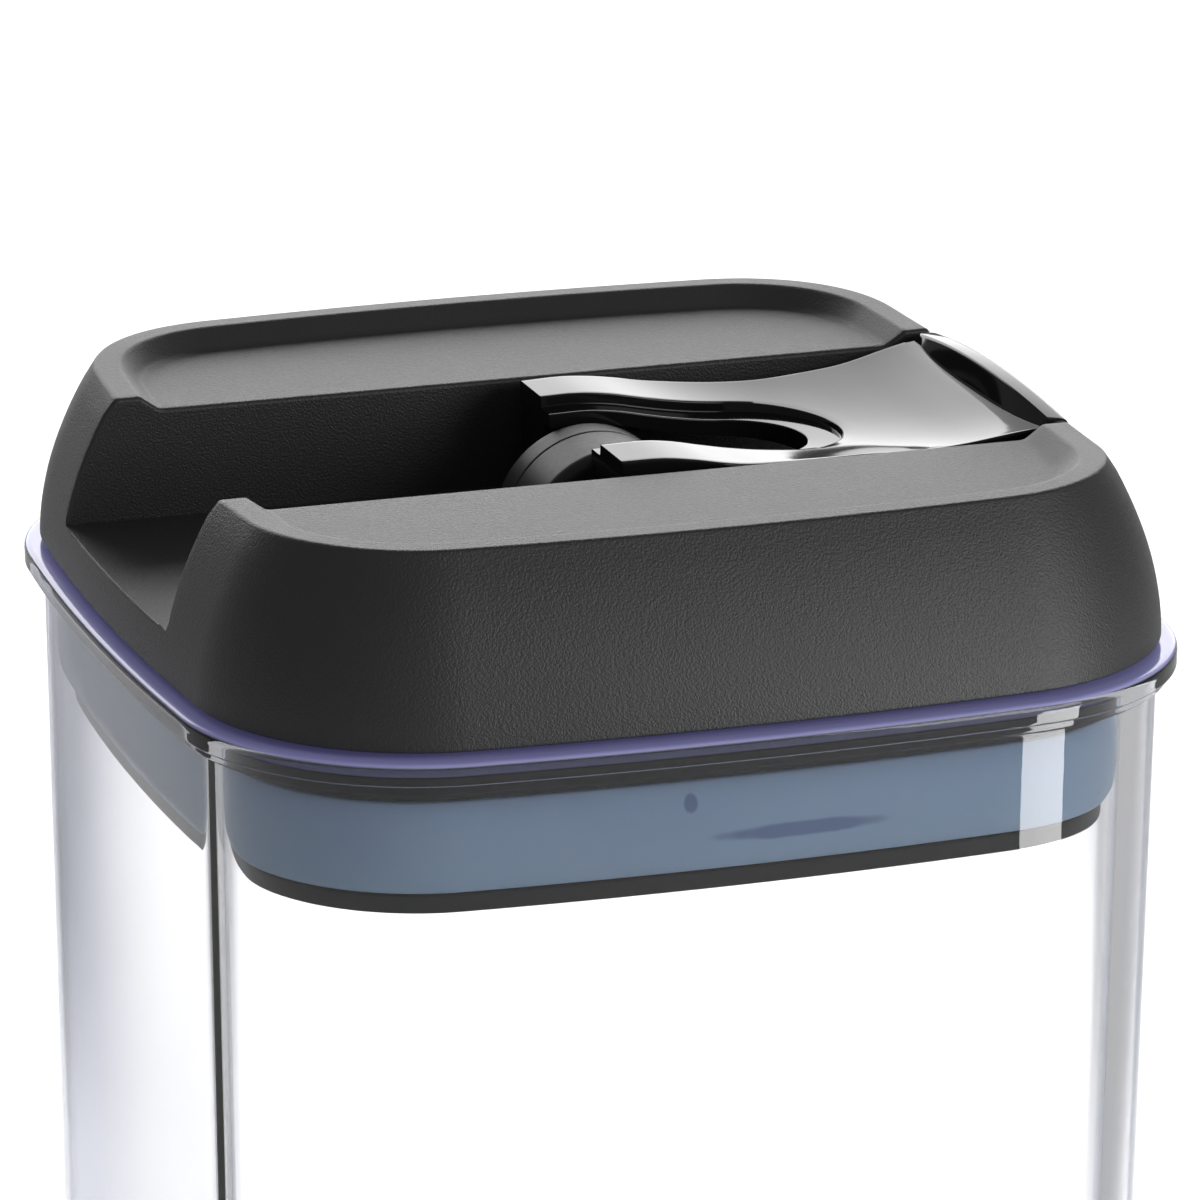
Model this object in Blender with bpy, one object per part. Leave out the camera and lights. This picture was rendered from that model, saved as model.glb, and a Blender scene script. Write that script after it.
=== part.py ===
"""Square clear canister with a flip-lever expansion-seal lid. Metres, +Z up.

The origin is the bottom centre of the canister, and +X runs towards the lever's free end.
"""

import math

import bmesh
import bpy
from mathutils import Matrix, Vector

# Canister
BODY_HEIGHT = 0.135  # base to the top of the rim
RIM_HALF = 0.056  # half the width across the rim
RIM_CORNER = 0.0262  # corner radius of the rim's outline
SIDE_RADIUS = 0.3927  # radius of the slight outward bow of each side
RIM_REACH = 0.0021  # from the wall out to the rim's edge
RIM_DEPTH = 0.0034
RIM_STEP = 0.0023  # depth of the rim's thick upper band
RIM_ROUND = 0.0008
WALL = 0.0036
DRAFT = 0.0128  # narrowing on each side, per metre of height
FLOOR = 0.0045
BASE_ROUND = 0.003
FOOT_WIDTH = 0.0062  # flat foot round the recess under the base
FOOT_RECESS = 0.0008

# Lid cover, with heights measured from the top of the canister's rim
COVER_INSET = 0.00176  # from the rim's edge in to the cover's foot
COVER_LEAN = 0.00634  # how far the side leans in on its way up
COVER_FOOT = 0.0007
COVER_TOP = 0.02015
COVER_BULGE = 1.9  # power of the curve that the cover's side follows
COVER_WALL = 0.0022
EDGE_WIDTH = 0.0028  # flat top of the raised edge
EDGE_SLOPE = 0.0022  # width of the slope from the raised edge down to the deck
EDGE_RISE = 0.00215  # raised edge above the deck
EDGE_DIP = 0.0006  # how far the raised edge falls towards the channel
CHANNEL_HALF = 0.020
CHANNEL_FLOOR = 0.0058
BOSS_WALL = 0.0016
BOSS_INSET_X = 0.0242  # from the cover's foot in to a screw
BOSS_INSET_Y = 0.0202

# Lid base, seal and pressure plate
FLANGE_TOP = 0.0025
SKIRT_DROP = 0.0055
SKIRT_WALL = 0.002
BASE_WEB = 0.002
SEAL_DEPTH = 0.0105  # height left for the squeezed seal
SEAL_WIDTH = 0.0044
PLATE_EDGE = 0.002
PLATE_INSET = 0.0010  # how far the seal's ends and the plate stand back from the wall
UPSTAND_WALL = 0.0018
PLATE_BOSS_RISE = 0.004
PLATE_BOSS_LAND = 0.004  # boss round the cap
CAP_MARGIN = 0.0027  # cap beyond the screws' heads
CAP_THICK = 0.0012

# Pull post and axle
POST_X = 0.0013
HEAD_RADIUS = 0.0102
HEAD_CENTRE = 0.0063  # height of the centre of the head's arch
POST_HALF = 0.006
CHEEK_WIDTH = 0.0039
CHEEK_BOTTOM = 0.001
GUIDE_WALL = 0.0016
AXLE_RADIUS = 0.002

# Lever
CAM_REACH = 0.0062  # axle to the channel's floor, with the lever flat
CAM_LIFT = 0.0025  # how far the post rises as the lever is pressed flat
CAM_SPACE = 0.0025  # between the post and a cam
CAM_INSET = 0.0007  # from a tine's side in to its cam
AXLE_COVER = 0.0007  # end of the axle to the cam's outer face
SLOT_PLAY = 0.0010  # between the post and the slot
SLOT_END = 0.0248
LEDGE = 0.0028  # width of the ledge round the slot
LEDGE_END = 0.0039
LEDGE_DEPTH = 0.0012
LEVER_THICK = 0.0026
LEVER_PLAY = 0.0010  # between the lip and the channel's side
LIP_WIDTH = 0.0021
LIP_SINK = 0.00205  # foot of the lip's facet below the cover's top
LIP_RISE = 0.0028  # height of the facet at the middle of the lip
LIP_CROWN = 0.0014
LIP_DEPTH = 0.00815  # cover's top down to the lower edge of the front skirt
# Stations along the lever: share of the way from the tip to the lip, how much narrower
# it is than the lip, its edge below the cover's top, and the depth of its dish.
LEVER_STATIONS = (
    (0.0, 0.0017, 0.00155, 0.0),
    (0.14, 0.0014, 0.00155, 0.0),
    (0.27, 0.0008, 0.0025, 0.0002),
    (0.415, 0.0020, 0.0032, 0.0009),
    (0.585, 0.0030, 0.00345, 0.0014),
    (0.76, 0.0021, 0.0032, 0.0012),
    (0.91, 0.0009, 0.0026, 0.0006),
    (1.0, 0.0, 0.00205, 0.0),
)

# Fasteners
SCREW_RADIUS = 0.0015
SCREW_HEAD = 0.0028
SCREW_HEAD_RISE = 0.0017
SCREW_BITE = 0.0063  # length of a plate screw inside the post
PLATE_SCREW_SPREAD = 0.005

# Clearances
GAP = 0.0003  # between pieces that touch
RUNNING = 0.00008  # round the axle
SIDE_PLAY = 0.0005  # between the lid's skirt and the canister
SEAM = 0.0001  # between the two halves of the post's head

# Sizes that follow from those above
BODY_HALF = RIM_HALF - RIM_REACH
COVER_FOOT_HALF = RIM_HALF - COVER_INSET
COVER_TOP_HALF = COVER_FOOT_HALF - COVER_LEAN
DECK = COVER_TOP - EDGE_RISE
BOSS_X = COVER_FOOT_HALF - BOSS_INSET_X
BOSS_Y = COVER_FOOT_HALF - BOSS_INSET_Y
BOSS_RADIUS = SCREW_RADIUS + GAP + BOSS_WALL
SEAL_BOTTOM = SKIRT_DROP + SEAL_DEPTH
CAP_RADIUS = PLATE_SCREW_SPREAD + SCREW_HEAD + CAP_MARGIN
PLATE_BOSS_RADIUS = CAP_RADIUS + PLATE_BOSS_LAND
AXLE_HEIGHT = CHANNEL_FLOOR + CAM_REACH
LIP_HALF = CHANNEL_HALF - LEVER_PLAY
CAM_INNER = POST_HALF + CAM_SPACE
CAM_OUTER = LIP_HALF - LEVER_STATIONS[0][1] - CAM_INSET
AXLE_HALF = CAM_OUTER - AXLE_COVER
SLOT_HALF = POST_HALF + SLOT_PLAY

CORNER_STEPS = 6
SIDE_STEPS = 4
ROUND_SIDES = 24
SCREW_SIDES = 12
LEVER_ROWS = 8

parts = bpy.data.collections.new("lidded_canister")
cutters = bpy.data.collections.new("cutters")


def clear_scene():
    for thing in list(bpy.data.objects):
        bpy.data.objects.remove(thing, do_unlink=True)
    for group in (parts, cutters):
        bpy.context.scene.collection.children.link(group)


def finish(name, colour, roughness, metallic=0.0, alpha=1.0):
    material = bpy.data.materials.new(name)
    material.use_nodes = True
    shader = material.node_tree.nodes["Principled BSDF"]
    shader.inputs["Base Color"].default_value = (*colour, 1.0)
    shader.inputs["Roughness"].default_value = roughness
    shader.inputs["Metallic"].default_value = metallic
    shader.inputs["Alpha"].default_value = alpha
    return material


def empty(name, place):
    marker = bpy.data.objects.new(name, None)
    marker.location = place
    parts.objects.link(marker)
    return marker


def part(name, shape, material, parent=None):
    """Makes a mesh of a bmesh in world coordinates into a named part, which hangs from its joint's empty."""
    bmesh.ops.recalc_face_normals(shape, faces=shape.faces)
    mesh = bpy.data.meshes.new(name)
    shape.to_mesh(mesh)
    shape.free()
    mesh.materials.append(material)
    thing = bpy.data.objects.new(name, mesh)
    parts.objects.link(thing)
    if parent:
        thing.parent = parent
        thing.location = -parent.location
    mesh.shade_smooth()
    mesh.set_sharp_from_angle(angle=math.radians(35))
    return thing


def cutter(name, shape):
    bmesh.ops.recalc_face_normals(shape, faces=shape.faces)
    mesh = bpy.data.meshes.new(name)
    shape.to_mesh(mesh)
    shape.free()
    thing = bpy.data.objects.new(name, mesh)
    thing.hide_render = True
    thing.display_type = "WIRE"
    cutters.objects.link(thing)
    return thing


def combine(thing, other, operation):
    modifier = thing.modifiers.new(f"{operation.lower()}_{other.name}", "BOOLEAN")
    modifier.operation = operation
    modifier.object = other


def cut(thing, *others):
    for other in others:
        combine(thing, other, "DIFFERENCE")


def join(thing, *others):
    for other in others:
        combine(thing, other, "UNION")


def box(low, high):
    shape = bmesh.new()
    bmesh.ops.create_cube(shape, size=1.0)
    low, high = Vector(low), Vector(high)
    bmesh.ops.scale(shape, vec=high - low, verts=shape.verts)
    bmesh.ops.translate(shape, vec=(low + high) / 2, verts=shape.verts)
    return shape


def rod(radius, x, y, bottom, top, sides=ROUND_SIDES):
    """An upright cylinder."""
    shape = bmesh.new()
    bmesh.ops.create_cone(
        shape, cap_ends=True, segments=sides, radius1=radius, radius2=radius, depth=top - bottom
    )
    bmesh.ops.translate(shape, vec=(x, y, (bottom + top) / 2), verts=shape.verts)
    return shape


def prism(outline, front, back):
    """A flat outline of (x, z) points, extruded along Y."""
    shape = bmesh.new()
    face = shape.faces.new([shape.verts.new((x, front, z)) for x, z in outline])
    grown = bmesh.ops.extrude_face_region(shape, geom=[face])["geom"]
    moved = [item for item in grown if isinstance(item, bmesh.types.BMVert)]
    bmesh.ops.translate(shape, vec=(0, back - front, 0), verts=moved)
    return shape


def stadium(half, start, end, bottom, top):
    """An upright prism along X, square at its start and round at its end."""
    steps = ROUND_SIDES // 2
    turns = [math.pi * (step / steps - 0.5) for step in range(steps + 1)]
    flat = [(end - half + half * math.cos(a), half * math.sin(a)) for a in turns]
    flat += [(start, half), (start, -half)]
    return loft([[Vector((x, y, height)) for x, y in flat] for height in (bottom, top)])


def outline_arcs(half):
    """Radius of a side, radius and centre of a corner, and half a side's angle, for this half width."""
    inset = RIM_HALF - half
    side, corner = SIDE_RADIUS - inset, RIM_CORNER - inset
    turn = math.acos((side - half) / ((side - corner) * math.sqrt(2))) - math.pi / 4
    return side, corner, (side - corner) * math.sin(turn), turn


def ring(half, height):
    """Points round the rounded square of this half width, starting on the +X side."""
    side, corner, centre, turn = outline_arcs(half)
    points = []
    for quarter in range(4):
        heading = quarter * math.pi / 2
        east = Vector((math.cos(heading), math.sin(heading)))
        north = Vector((-east.y, east.x))
        for step in range(SIDE_STEPS + 1):
            a = turn * (2 * step / SIDE_STEPS - 1)
            points.append(east * (half - side + side * math.cos(a)) + north * side * math.sin(a))
        for step in range(1, CORNER_STEPS):
            a = turn + (math.pi / 2 - 2 * turn) * step / CORNER_STEPS
            points.append(east * (centre + corner * math.cos(a)) + north * (centre + corner * math.sin(a)))
    return [Vector((point.x, point.y, height)) for point in points]


def outline_x(half, y):
    """Where the +X side of the rounded square of this half width stands at y."""
    side, corner, centre, turn = outline_arcs(half)
    if abs(y) <= side * math.sin(turn):
        return half - side + math.sqrt(side**2 - y**2)
    return centre + math.sqrt(corner**2 - (abs(y) - centre) ** 2)


def loft(rings, closed=False):
    """Skins a row of rings that have equal counts, then caps its ends or joins them."""
    shape = bmesh.new()
    loops = [[shape.verts.new(point) for point in points] for points in rings]
    pairs = list(zip(loops, loops[1:]))
    if closed:
        pairs.append((loops[-1], loops[0]))
    for first, second in pairs:
        for here in range(len(first)):
            there = (here + 1) % len(first)
            shape.faces.new((first[here], first[there], second[there], second[here]))
    bmesh.ops.triangulate(shape, faces=shape.faces)  # a bent four-sided face can confuse a Boolean
    if not closed:
        shape.faces.new(loops[0])
        shape.faces.new(loops[-1])
    return shape


def body_half(height):
    """Half width of the canister's outside at a height above its base."""
    return BODY_HALF - DRAFT * (BODY_HEIGHT - height)


def bore_half(height):
    return body_half(height) - WALL


def above_rim(height):
    return BODY_HEIGHT + height


def cover_half(height):
    """Half width of the cover's outside at a height above the rim."""
    share = max(0.0, (height - COVER_FOOT) / (COVER_TOP - COVER_FOOT))
    return COVER_FOOT_HALF - (COVER_FOOT_HALF - COVER_TOP_HALF) * share**COVER_BULGE


def ease(share):
    share = min(1.0, max(0.0, share))
    return share * share * (3 - 2 * share)


def make_body(material):
    flange = BODY_HEIGHT - RIM_DEPTH
    step = BODY_HEIGHT - RIM_STEP
    foot = body_half(0) - BASE_ROUND - FOOT_WIDTH
    outside = [
        ring(foot, FOOT_RECESS),
        ring(foot, 0),
        ring(body_half(0) - BASE_ROUND, 0),
        ring(body_half(0) - BASE_ROUND * 0.3, BASE_ROUND * 0.3),
        ring(body_half(BASE_ROUND), BASE_ROUND),
        ring(body_half(flange), flange),
        ring(RIM_HALF - RIM_ROUND, flange),
        ring(RIM_HALF - RIM_ROUND, step),
        ring(RIM_HALF, step),
        ring(RIM_HALF, BODY_HEIGHT - RIM_ROUND),
        ring(RIM_HALF - RIM_ROUND, BODY_HEIGHT),
    ]
    inside = [
        ring(bore_half(BODY_HEIGHT), BODY_HEIGHT),
        ring(bore_half(FLOOR + BASE_ROUND), FLOOR + BASE_ROUND),
        ring(bore_half(FLOOR) - BASE_ROUND * 0.3, FLOOR + BASE_ROUND * 0.3),
        ring(bore_half(FLOOR) - BASE_ROUND, FLOOR),
    ]
    return part("canister_body", loft(outside + inside), material)


def cover_edge(points):
    """Lets the raised edge fall a little towards the channel."""
    for point in points:
        share = ease((abs(point.y) - CHANNEL_HALF) / (COVER_TOP_HALF / 2))
        point.z -= EDGE_DIP * (1 - share)
    return points


def make_cover(material, parent):
    levels = [COVER_FOOT + (COVER_TOP - COVER_FOOT) * share for share in (0, 0.3, 0.5, 0.7, 0.87)]
    rings = [ring(cover_half(level), above_rim(level)) for level in levels]
    for half in (COVER_TOP_HALF, COVER_TOP_HALF - EDGE_WIDTH):
        rings.append(cover_edge(ring(half, above_rim(COVER_TOP))))
    rings.append(ring(COVER_TOP_HALF - EDGE_WIDTH - EDGE_SLOPE, above_rim(DECK)))
    cover = part("lid_cover", loft(rings), material, parent)

    ceiling = DECK - COVER_WALL
    hollow_levels = [COVER_FOOT - COVER_WALL, 0.3 * ceiling, 0.6 * ceiling, 0.85 * ceiling, ceiling]
    hollow = cutter(
        "cover_hollow",
        loft([ring(cover_half(level) - COVER_WALL, above_rim(level)) for level in hollow_levels]),
    )
    reach = RIM_HALF + WALL
    wall = CHANNEL_HALF + COVER_WALL
    under = above_rim(CHANNEL_FLOOR - COVER_WALL)
    walls = box((-reach, -wall, under), (reach, wall, above_rim(COVER_TOP)))
    cut(hollow, cutter("channel_walls", walls))
    channel = box(
        (-reach, -CHANNEL_HALF, above_rim(CHANNEL_FLOOR)), (reach, CHANNEL_HALF, above_rim(2 * COVER_TOP))
    )
    cut(cover, hollow, cutter("channel", channel))
    foot, head = above_rim(GAP - SKIRT_DROP + BASE_WEB), above_rim(ceiling + COVER_WALL / 2)
    for place, (x, y) in boss_places():
        join(cover, cutter(f"boss_{place}", rod(BOSS_RADIUS, x, y, foot, head)))
    for place, (x, y) in boss_places():
        pilot = rod(
            SCREW_RADIUS + GAP, x, y, above_rim(-SKIRT_DROP), above_rim(CHANNEL_FLOOR + GAP), SCREW_SIDES
        )
        cut(cover, cutter(f"pilot_{place}", pilot))
    cut(cover, post_hole("cover_post_hole", above_rim(0), above_rim(CHANNEL_FLOOR + COVER_WALL)))
    return cover


def boss_places():
    for x_name, x in (("left", -BOSS_X), ("right", BOSS_X)):
        for y_name, y in (("front", -BOSS_Y), ("back", BOSS_Y)):
            yield f"{y_name}_{x_name}", (x, y)


def post_hole(name, bottom, top):
    half_x, half_y = HEAD_RADIUS + GAP, POST_HALF + GAP
    return cutter(name, box((POST_X - half_x, -half_y, bottom), (POST_X + half_x, half_y, top)))


def make_base(material, parent):
    skirt = bore_half(BODY_HEIGHT) - SIDE_PLAY
    inside = skirt - SKIRT_WALL
    flange = COVER_FOOT_HALF - COVER_WALL - GAP
    web_top = BASE_WEB - SKIRT_DROP
    rings = [
        ring(skirt - GAP, above_rim(-SKIRT_DROP)),
        ring(skirt, above_rim(GAP)),
        ring(flange, above_rim(GAP)),
        ring(flange, above_rim(FLANGE_TOP)),
        ring(inside, above_rim(FLANGE_TOP)),
        ring(inside, above_rim(web_top)),
    ]
    base = part("lid_base", loft(rings), material, parent)
    half_x, half_y = HEAD_RADIUS + GAP + GUIDE_WALL, POST_HALF + GAP + GUIDE_WALL
    top = above_rim(CHANNEL_FLOOR - COVER_WALL - GAP)
    guide = box((POST_X - half_x, -half_y, above_rim(web_top - BASE_WEB / 2)), (POST_X + half_x, half_y, top))
    join(base, cutter("post_guide", guide))
    cut(base, post_hole("base_post_hole", above_rim(-SKIRT_DROP - BASE_WEB), top + GAP))
    for place, (x, y) in boss_places():
        hole = rod(SCREW_RADIUS + GAP, x, y, above_rim(-2 * SKIRT_DROP), above_rim(0), SCREW_SIDES)
        cut(base, cutter(f"base_hole_{place}", hole))
    return base


def screw(name, x, y, seat, tip, material, parent):
    """A pan-head screw driven upwards, with its head under the seat."""
    head = SCREW_HEAD
    profile = (
        (head * 0.75, seat - GAP - SCREW_HEAD_RISE),
        (head, seat - GAP - SCREW_HEAD_RISE * 0.6),
        (head, seat - GAP),
        (SCREW_RADIUS, seat - GAP),
        (SCREW_RADIUS, tip - 2 * GAP - SCREW_RADIUS),
        (SCREW_RADIUS * 0.3, tip - 2 * GAP),
    )
    turns = [2 * math.pi * step / SCREW_SIDES for step in range(SCREW_SIDES)]
    rings = [[Vector((x + r * math.cos(a), y + r * math.sin(a), z)) for a in turns] for r, z in profile]
    return part(name, loft(rings), material, parent)


def make_base_screws(material, parent):
    for place, (x, y) in boss_places():
        screw(f"base_screw_{place}", x, y, above_rim(-SKIRT_DROP), above_rim(CHANNEL_FLOOR), material, parent)


def seal_top():
    return -SKIRT_DROP - GAP


def seal_half(height):
    """Outside of the squeezed seal, which swells until it meets the wall half way down."""
    middle = (seal_top() - SEAL_BOTTOM) / 2
    share = (height - middle) / (seal_top() - middle)
    return bore_half(above_rim(height)) - GAP - PLATE_INSET * share * share


def make_seal(material, parent):
    bottom = GAP - SEAL_BOTTOM
    depth = seal_top() - bottom
    levels = [bottom + depth * share for share in (0, 0.12, 0.35, 0.65, 0.88, 1)]
    outside = [ring(seal_half(level), above_rim(level)) for level in levels]
    inner = seal_half(bottom) - SEAL_WIDTH + PLATE_INSET
    inside = [ring(inner, above_rim(level)) for level in (levels[-1], levels[0])]
    return part("silicone_gasket", loft(outside + inside, closed=True), material, parent)


def plate_half():
    return seal_half(GAP - SEAL_BOTTOM) - PLATE_INSET / 2


def make_plate(material, parent):
    top, bottom = -SEAL_BOTTOM, -SEAL_BOTTOM - PLATE_EDGE
    upstand = seal_half(GAP - SEAL_BOTTOM) - SEAL_WIDTH + PLATE_INSET - GAP
    upstand_top = seal_top() - 2 * GAP
    rings = [
        ring(plate_half() - GAP, above_rim(bottom)),
        ring(plate_half(), above_rim(bottom + GAP)),
        ring(plate_half(), above_rim(top)),
        ring(upstand, above_rim(top)),
        ring(upstand, above_rim(upstand_top)),
        ring(upstand - UPSTAND_WALL, above_rim(upstand_top)),
        ring(upstand - UPSTAND_WALL, above_rim(top)),
    ]
    plate = part("pressure_plate", loft(rings), material, parent)
    boss_top = top + PLATE_BOSS_RISE
    boss = rod(PLATE_BOSS_RADIUS, POST_X, 0, above_rim(top - PLATE_EDGE / 2), above_rim(boss_top))
    join(plate, cutter("plate_boss", boss))
    seat = cap_seat()
    recess = rod(CAP_RADIUS + GAP, POST_X, 0, above_rim(bottom - PLATE_EDGE), above_rim(seat))
    cut(plate, cutter("cap_recess", recess))
    for side, x in plate_screw_places():
        well = rod(SCREW_HEAD + GAP, x, 0, above_rim(bottom), above_rim(plate_screw_seat()), SCREW_SIDES)
        hole = rod(SCREW_RADIUS + GAP, x, 0, above_rim(bottom), above_rim(boss_top + GAP), SCREW_SIDES)
        cut(plate, cutter(f"plate_well_{side}", well), cutter(f"plate_hole_{side}", hole))
    return plate


def cap_seat():
    return -SEAL_BOTTOM - PLATE_EDGE + CAP_THICK + GAP


def plate_screw_places():
    return (("left", POST_X - PLATE_SCREW_SPREAD), ("right", POST_X + PLATE_SCREW_SPREAD))


def plate_screw_seat():
    return cap_seat() + SCREW_HEAD_RISE + 2 * GAP


def post_bottom():
    return PLATE_BOSS_RISE - SEAL_BOTTOM + GAP


def make_plate_screws(material, parent):
    for side, x in plate_screw_places():
        tip = above_rim(post_bottom() + SCREW_BITE)
        screw(f"plate_screw_{side}", x, 0, above_rim(plate_screw_seat()), tip, material, parent)


def make_cap(material, parent):
    bottom = above_rim(-SEAL_BOTTOM - PLATE_EDGE)
    return part("screw_cap", rod(CAP_RADIUS, POST_X, 0, bottom, bottom + CAP_THICK), material, parent)


def arch(bottom):
    """Side view of the post: upright sides under a half-round head."""
    steps = ROUND_SIDES // 2
    turns = [math.pi * step / steps for step in range(steps + 1)]
    centre = above_rim(HEAD_CENTRE)
    crown = [(POST_X + HEAD_RADIUS * math.cos(a), centre + HEAD_RADIUS * math.sin(a)) for a in turns]
    return [*crown, (POST_X - HEAD_RADIUS, bottom), (POST_X + HEAD_RADIUS, bottom)]


def axle_rod(radius, half):
    """A cylinder along Y, on the axle's line."""
    shape = rod(radius, 0, 0, -half, half)
    bmesh.ops.rotate(shape, matrix=Matrix.Rotation(math.pi / 2, 3, "X"), verts=shape.verts)
    bmesh.ops.translate(shape, vec=(POST_X, 0, above_rim(AXLE_HEIGHT)), verts=shape.verts)
    return shape


def axle_hole(name, half):
    """The hole's flats, not its corners, clear the axle."""
    return cutter(name, axle_rod((AXLE_RADIUS + RUNNING) / math.cos(math.pi / ROUND_SIDES), half))


def make_post(material, parent):
    seam = POST_HALF - CHEEK_WIDTH
    post = part("pull_post", prism(arch(above_rim(post_bottom())), -POST_HALF, POST_HALF), material, parent)
    reach = HEAD_RADIUS + GAP
    room = box(
        (POST_X - reach, seam - SEAM, above_rim(CHEEK_BOTTOM - SEAM)),
        (POST_X + reach, POST_HALF + GAP, above_rim(HEAD_CENTRE + 2 * HEAD_RADIUS)),
    )
    cut(post, cutter("cheek_room", room), axle_hole("post_axle_hole", POST_HALF + GAP))
    for side, x in plate_screw_places():
        low, high = above_rim(post_bottom() - GAP), above_rim(post_bottom() + SCREW_BITE + GAP)
        cut(post, cutter(f"post_pilot_{side}", rod(SCREW_RADIUS + GAP, x, 0, low, high, SCREW_SIDES)))
    return post


def make_cheek(material, parent):
    seam = POST_HALF - CHEEK_WIDTH
    cheek = part("post_cheek", prism(arch(above_rim(CHEEK_BOTTOM)), seam, POST_HALF), material, parent)
    cut(cheek, axle_hole("cheek_axle_hole", POST_HALF + GAP))
    return cheek


def make_axle(material, parent):
    return part("axle_pin", axle_rod(AXLE_RADIUS, AXLE_HALF), material, parent)


def cam_outline():
    """Side view of a cam. Its reach falls evenly by the lift over a quarter turn."""
    reach = CAM_REACH - GAP
    rate = CAM_LIFT / (math.pi / 2)
    points = []
    steps = 8
    for step in range(steps, -1, -1):
        a = math.pi / 2 * step / steps
        left = reach - rate * a
        x = rate * math.cos(a) - left * math.sin(a)
        z = -rate * math.sin(a) - left * math.cos(a)
        points.append((x, z))
    for step in range(1, steps + 1):
        a = math.pi / 2 * step / steps
        points.append((rate + reach * math.sin(a), -reach * math.cos(a)))
    top = COVER_TOP - LEVER_STATIONS[2][2] - LEVER_THICK / 2 - AXLE_HEIGHT
    tip = points[0][0]
    outline = [*points, (points[-1][0], top / 2), (points[-1][0] - GAP, top), (tip, top)]
    return [(POST_X + x, above_rim(AXLE_HEIGHT) + z) for x, z in outline]


def lever_tip():
    """X of the flat ends of the fork, which stand on the floor when the lever is up."""
    return POST_X - (CAM_REACH - GAP - CAM_LIFT)


def across(half, edge, dish):
    """A row of points over the lever's top, dished in the middle."""
    shares = [2 * row / LEVER_ROWS - 1 for row in range(LEVER_ROWS + 1)]
    return [(share * half, edge - dish * (1 - share * share), share) for share in shares]


def section(x, half, edge, dish, drop):
    """A slice across the lever: its dished top, and the same row lower down."""
    top = [Vector((x, y, above_rim(z))) for y, z, _ in across(half, edge, dish)]
    return top + [point - Vector((0, 0, drop)) for point in reversed(top)]


def sections(drop):
    """Slices from the tip to the foot of the lip's facet."""
    length = lip_foot() - lever_tip()
    return [
        section(lever_tip() + share * length, LIP_HALF - waist, COVER_TOP - low, dish, drop)
        for share, waist, low, dish in LEVER_STATIONS
    ]


def lip_foot():
    """X where the dished top meets the lip's inner facet."""
    return cover_half(COVER_TOP - LIP_SINK + LIP_RISE) - LIP_WIDTH - LIP_RISE / 3


def lip_sections():
    """The facet, the crowned top of the lip and the front skirt, which follows the side of the cover."""
    rows = across(LIP_HALF, 0, 0)
    peak = COVER_TOP - LIP_SINK + LIP_RISE
    crown = [peak - LIP_CROWN * share * share for _, _, share in rows]
    hem = [COVER_TOP - LIP_DEPTH] * len(rows)
    middle = [(low + high) / 2 for low, high in zip(hem, crown)]

    def front(heights, inset=0.0):
        return [
            Vector((outline_x(cover_half(z) - inset, y), y, above_rim(z)))
            for (y, _, _), z in zip(rows, heights)
        ]

    return [
        front(crown, LIP_WIDTH) + front(hem, LEVER_THICK * 2)[::-1],
        front(crown) + front(hem, LEVER_THICK * 1.5)[::-1],
        front(middle) + front(hem, LEVER_THICK * 1.25)[::-1],
        front(hem) + front(hem, LEVER_THICK)[::-1],
    ]


def make_lever(material, parent):
    lever = part("lever", loft(sections(LEVER_THICK) + lip_sections()), material, parent)
    for side, inner, outer in (("front", -CAM_OUTER, -CAM_INNER), ("back", CAM_INNER, CAM_OUTER)):
        join(lever, cutter(f"cam_{side}", prism(cam_outline(), inner, outer)))
    start = lever_tip() - LEVER_THICK
    low, high = above_rim(0), above_rim(2 * COVER_TOP)
    recess = cutter("recess", stadium(SLOT_HALF + LEDGE, start, SLOT_END + LEDGE_END, low, high))
    above = sections(-COVER_TOP)
    above.insert(0, [point - Vector((2 * LEVER_THICK, 0, 0)) for point in above[0]])
    above = loft(above)
    bmesh.ops.translate(above, vec=(0, 0, -LEDGE_DEPTH), verts=above.verts)
    combine(recess, cutter("above_ledge", above), "INTERSECT")
    slot = cutter("slot", stadium(SLOT_HALF, start, SLOT_END, low, high))
    cut(lever, recess, slot, axle_hole("lever_axle_hole", AXLE_HALF + GAP))
    return lever


def main():
    clear_scene()
    clear = finish("clear_plastic", (0.86, 0.89, 0.95), 0.04, alpha=0.3)
    textured = finish("textured_black", (0.028, 0.028, 0.030), 0.55)
    gloss = finish("gloss_black", (0.010, 0.010, 0.012), 0.08)
    satin = finish("satin_dark_grey", (0.045, 0.045, 0.048), 0.38)
    silicone = finish("blue_grey_silicone", (0.22, 0.29, 0.38), 0.45)
    steel = finish("steel", (0.62, 0.62, 0.63), 0.3, metallic=1.0)

    lid_frame = empty("lid_frame", Vector((0, 0, BODY_HEIGHT)))
    post_frame = empty("post_frame", Vector((POST_X, 0, BODY_HEIGHT)))
    lever_frame = empty("lever_frame", Vector((POST_X, 0, above_rim(AXLE_HEIGHT))))

    make_body(clear)
    make_cover(textured, lid_frame)
    make_base(satin, lid_frame)
    make_base_screws(steel, lid_frame)
    make_seal(silicone, post_frame)
    make_plate(satin, post_frame)
    make_plate_screws(steel, post_frame)
    make_cap(satin, post_frame)
    make_post(satin, post_frame)
    make_cheek(satin, post_frame)
    make_axle(steel, post_frame)
    make_lever(gloss, lever_frame)


main()
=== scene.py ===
import math

import bmesh
import bpy
from mathutils import Matrix, Vector


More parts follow.
